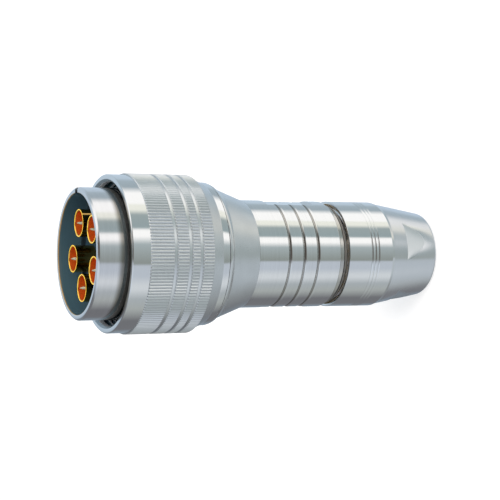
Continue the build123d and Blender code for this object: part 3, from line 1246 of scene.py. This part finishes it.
@dataclass
class Studio:
    """Camera, walls of light, lamps and floor."""

    camera_place: tuple[float, float, float] = (0.0, -0.3859, 0.2482)
    camera_tilt: float = 25.65
    lens: float = 95.04
    sensor: float = 36.0
    image_shift: float = 0.0078
    floor_radius: float = 0.9
    floor_drop: float = 0.0003
    floor_segments: int = 96
    floor_colour: Colour = (0.52, 0.49, 0.47)
    floor_glow: float = 0.66
    aim: Vector = field(default_factory=lambda: Vector((0, 0, 0.1)))
    lamps: tuple[Lamp, ...] = (
        Lamp("side_lamp", (0.25, -0.45, 0.7), 0.5, 4.0),
        Lamp("mouth_lamp", (0.0, -0.06, 0.62), 0.16, 1.6),
    )
    panels: tuple[Panel, ...] = (
        Panel(0, 20, (0.46, 0.56, 0.66)),
        Panel(25, 34, (0.36, 0.44, 0.50), (0.34, 0.41, 0.46)),
        Panel(41, 51, (1.0, 1.0, 1.0)),
        Panel(53, 57, (0.86, 0.87, 0.80)),
        Panel(61, 71, (0.33, 0.39, 0.40), (0.30, 0.37, 0.39)),
        Panel(73, 77.5, (1.0, 1.0, 1.0)),
        Panel(83, 97, (0.38, 0.44, 0.46), (0.26, 0.29, 0.28)),
        Panel(98.5, 106, (0.48, 0.53, 0.60)),
        Panel(113, 116, (0.62, 0.66, 0.70)),
        Panel(124, 133, (0.39, 0.43, 0.46), (0.38, 0.41, 0.41)),
        Panel(146, 160, (0.16, 0.165, 0.18)),
        Panel(166, 170, (0.20, 0.24, 0.28)),
    )
    low_panels: tuple[Panel, ...] = (
        Panel(0, 30, (0.36, 0.43, 0.47)),
        Panel(46, 57, (0.58, 0.60, 0.60), (0.72, 0.72, 0.67)),
        Panel(64, 74, (0.42, 0.47, 0.49)),
        Panel(84, 97, (0.32, 0.37, 0.38), (0.31, 0.35, 0.34)),
        Panel(99, 128, (0.44, 0.49, 0.53)),
        Panel(144, 170, (0.25, 0.27, 0.28)),
    )
    high_panels: tuple[Panel, ...] = (
        Panel(0, 22, (0.46, 0.56, 0.66)),
        Panel(36, 57, (1.0, 1.0, 1.0)),
        Panel(66, 97, (0.12, 0.11, 0.10)),
        Panel(103, 128, (0.60, 0.67, 0.76)),
        Panel(142, 170, (0.15, 0.16, 0.17)),
    )
    low_blend: tuple[float, float] = (-0.80, -0.62)
    high_blend: tuple[float, float] = (0.55, 0.68)
    wall_strength: float = 1.24

    def camera(self) -> None:
        """Places the camera with the plug's mating end to the left, as it is in the photograph."""
        data = bpy.data.cameras.new("camera")
        data.lens, data.sensor_width, data.shift_y = self.lens, self.sensor, self.image_shift
        data.clip_start, data.clip_end = 0.01, 10
        tilt = math.radians(self.camera_tilt)
        right = Vector((0, -math.sin(tilt), -math.cos(tilt)))
        up = Vector((1, 0, 0))
        back = right.cross(up)
        turn = Matrix((right, up, back)).transposed().to_4x4()
        made = bpy.data.objects.new("camera", data)
        made.matrix_world = Matrix.Translation(self.camera_place) @ turn
        bpy.context.scene.collection.objects.link(made)
        bpy.context.scene.camera = made

    @staticmethod
    def row(
        nodes: Nodes, share: bpy.types.NodeSocket, panels: Sequence[Panel]
    ) -> bpy.types.NodeSocket:
        """Colours of a row of panels.

        Args:
            nodes: The world's node tree.
            share: Part of the full circle at which a ray looks.
            panels: The row, in order round the plug.

        Returns:
            The socket with the row's colour; between two panels it fades from one to the other.
        """
        stops: list[tuple[float, Colour]] = []
        for panel in panels:
            stops.append((panel.start / HALF_TURN, panel.colour))
            stops.append((panel.end / HALF_TURN, panel.end_colour or panel.colour))
        return nodes.ramp(share, [*stops, (1.0, panels[0].colour)])

    @staticmethod
    def blend(
        nodes: Nodes,
        rise: bpy.types.NodeSocket,
        limits: tuple[float, float],
        below: bpy.types.NodeSocket,
        above: bpy.types.NodeSocket,
    ) -> bpy.types.NodeSocket:
        """Fades from one row of panels to the next one up.

        Args:
            nodes: The world's node tree.
            rise: Sine of the angle at which a ray looks up.
            limits: Sines between which the rows fade.
            below: Colour of the lower row.
            above: Colour of the upper row.

        Returns:
            The socket with the mixed colour.
        """
        share = nodes.add(
            "MapRange", {"Value": rise, "From Min": limits[0], "From Max": limits[1]}
        ).outputs[0]
        return nodes.add("MixRGB", {0: share, 1: below, 2: above}).outputs[0]

    def light_walls(self) -> None:
        """The world: walls of light that run round the plug, plain white to the camera."""
        world = bpy.data.worlds.new("light_walls")
        world.use_nodes = True
        bpy.context.scene.world = world
        nodes = Nodes(world.node_tree)
        way = nodes.add("TexCoord").outputs["Generated"]
        parts = nodes.add("SeparateXYZ", {0: way}).outputs
        angle = nodes.maths("ARCTAN2", parts[0], parts[1])
        share = nodes.maths("FRACT", nodes.maths("MULTIPLY", angle, 1 / FULL_TURN))
        middle = self.row(nodes, share, self.panels)
        low = self.row(nodes, share, self.low_panels)
        high = self.row(nodes, share, self.high_panels)
        upper = self.blend(nodes, parts[2], self.high_blend, middle, high)
        colour = self.blend(nodes, parts[2], self.low_blend, low, upper)
        seen = nodes.add("LightPath").outputs["Is Camera Ray"]
        lit = nodes.add("Background", {"Color": colour, "Strength": self.wall_strength})
        plain = nodes.add("Background", {"Color": (1, 1, 1, 1), "Strength": 1.0})
        mixed = nodes.add("MixShader", {0: seen, 1: lit.outputs[0], 2: plain.outputs[0]})
        out = nodes.add("OutputWorld")
        nodes.tree.links.new(mixed.outputs[0], out.inputs["Surface"])

    def floor(self) -> None:
        """Pale floor that keeps the plug's shadow and lets reflections pass to the walls."""
        made = bmesh.new()
        bmesh.ops.create_circle(
            made, cap_ends=True, segments=self.floor_segments, radius=self.floor_radius
        )
        bmesh.ops.translate(made, verts=made.verts[:], vec=(0, 0, -self.floor_drop))
        data = bpy.data.meshes.new("floor")
        made.to_mesh(data)
        made.free()
        disc = bpy.data.objects.new("floor", data)
        bpy.context.scene.collection.objects.link(disc)
        paper = bpy.data.materials.new("floor_paper")
        paper.use_nodes = True
        nodes = Nodes(paper.node_tree)
        path = nodes.add("LightPath").outputs
        matt = nodes.add("BsdfDiffuse", {"Color": (*self.floor_colour, 1)})
        glow = nodes.add("Emission", {"Color": (1, 1, 1, 1), "Strength": self.floor_glow})
        lit = nodes.add("AddShader", {0: matt.outputs[0], 1: glow.outputs[0]})
        seen = nodes.add("MixShader", {0: path["Is Camera Ray"], 1: matt.outputs[0], 2: lit.outputs[0]})
        clear = nodes.add("BsdfTransparent")
        passing = nodes.maths("MAXIMUM", path["Is Glossy Ray"], path["Is Transmission Ray"])
        below = nodes.add("NewGeometry").outputs["Backfacing"]
        passing = nodes.maths("MAXIMUM", passing, below)
        nodes.close(nodes.add("MixShader", {0: passing, 1: seen.outputs[0], 2: clear.outputs[0]}))
        data.materials.append(paper)

    def hang(self, lamp: Lamp) -> None:
        """Hangs a lamp for the matt surfaces, unseen in the reflections.

        Args:
            lamp: Which one.
        """
        data = bpy.data.lights.new(lamp.name, "AREA")
        data.shape, data.size, data.energy = "DISK", lamp.size, lamp.energy
        made = bpy.data.objects.new(lamp.name, data)
        made.location = lamp.place
        made.rotation_euler = (self.aim - Vector(lamp.place)).to_track_quat("-Z", "Y").to_euler()
        made.visible_glossy = False
        bpy.context.scene.collection.objects.link(made)

    def build(self) -> None:
        """Sets up the whole studio."""
        bpy.context.scene.view_settings.view_transform = "Standard"
        self.camera()
        self.light_walls()
        self.floor()
        for lamp in self.lamps:
            self.hang(lamp)


# Assembly


def dress_nodes() -> None:
    """Gives every CAD node the finish of its slot in the record."""
    for part in frame["record"]["subparts"]:
        node = frame["nodes"][part["node"]]
        finish = FINISH_OF_SLOT[Slot(part["material_slot"])]
        node.data.materials.clear()
        node.data.materials.append(finish.material())
        log.info("%s wears %s", node.name, finish.name)


def main() -> None:
    """Builds the plug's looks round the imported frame."""
    logging.basicConfig(level=logging.INFO, format="%(message)s")
    Studio().build()
    dress_nodes()
    PlugShell().build()
    CouplingRing().build()
    ConeAdapter().build()
    Barrel().build()
    GapSeal().build()
    TailNut().build()
    for number in range(1, CONTACT_COUNT + 1):
        CoaxialContact(number).build()


if __name__ == "__main__":
    main()
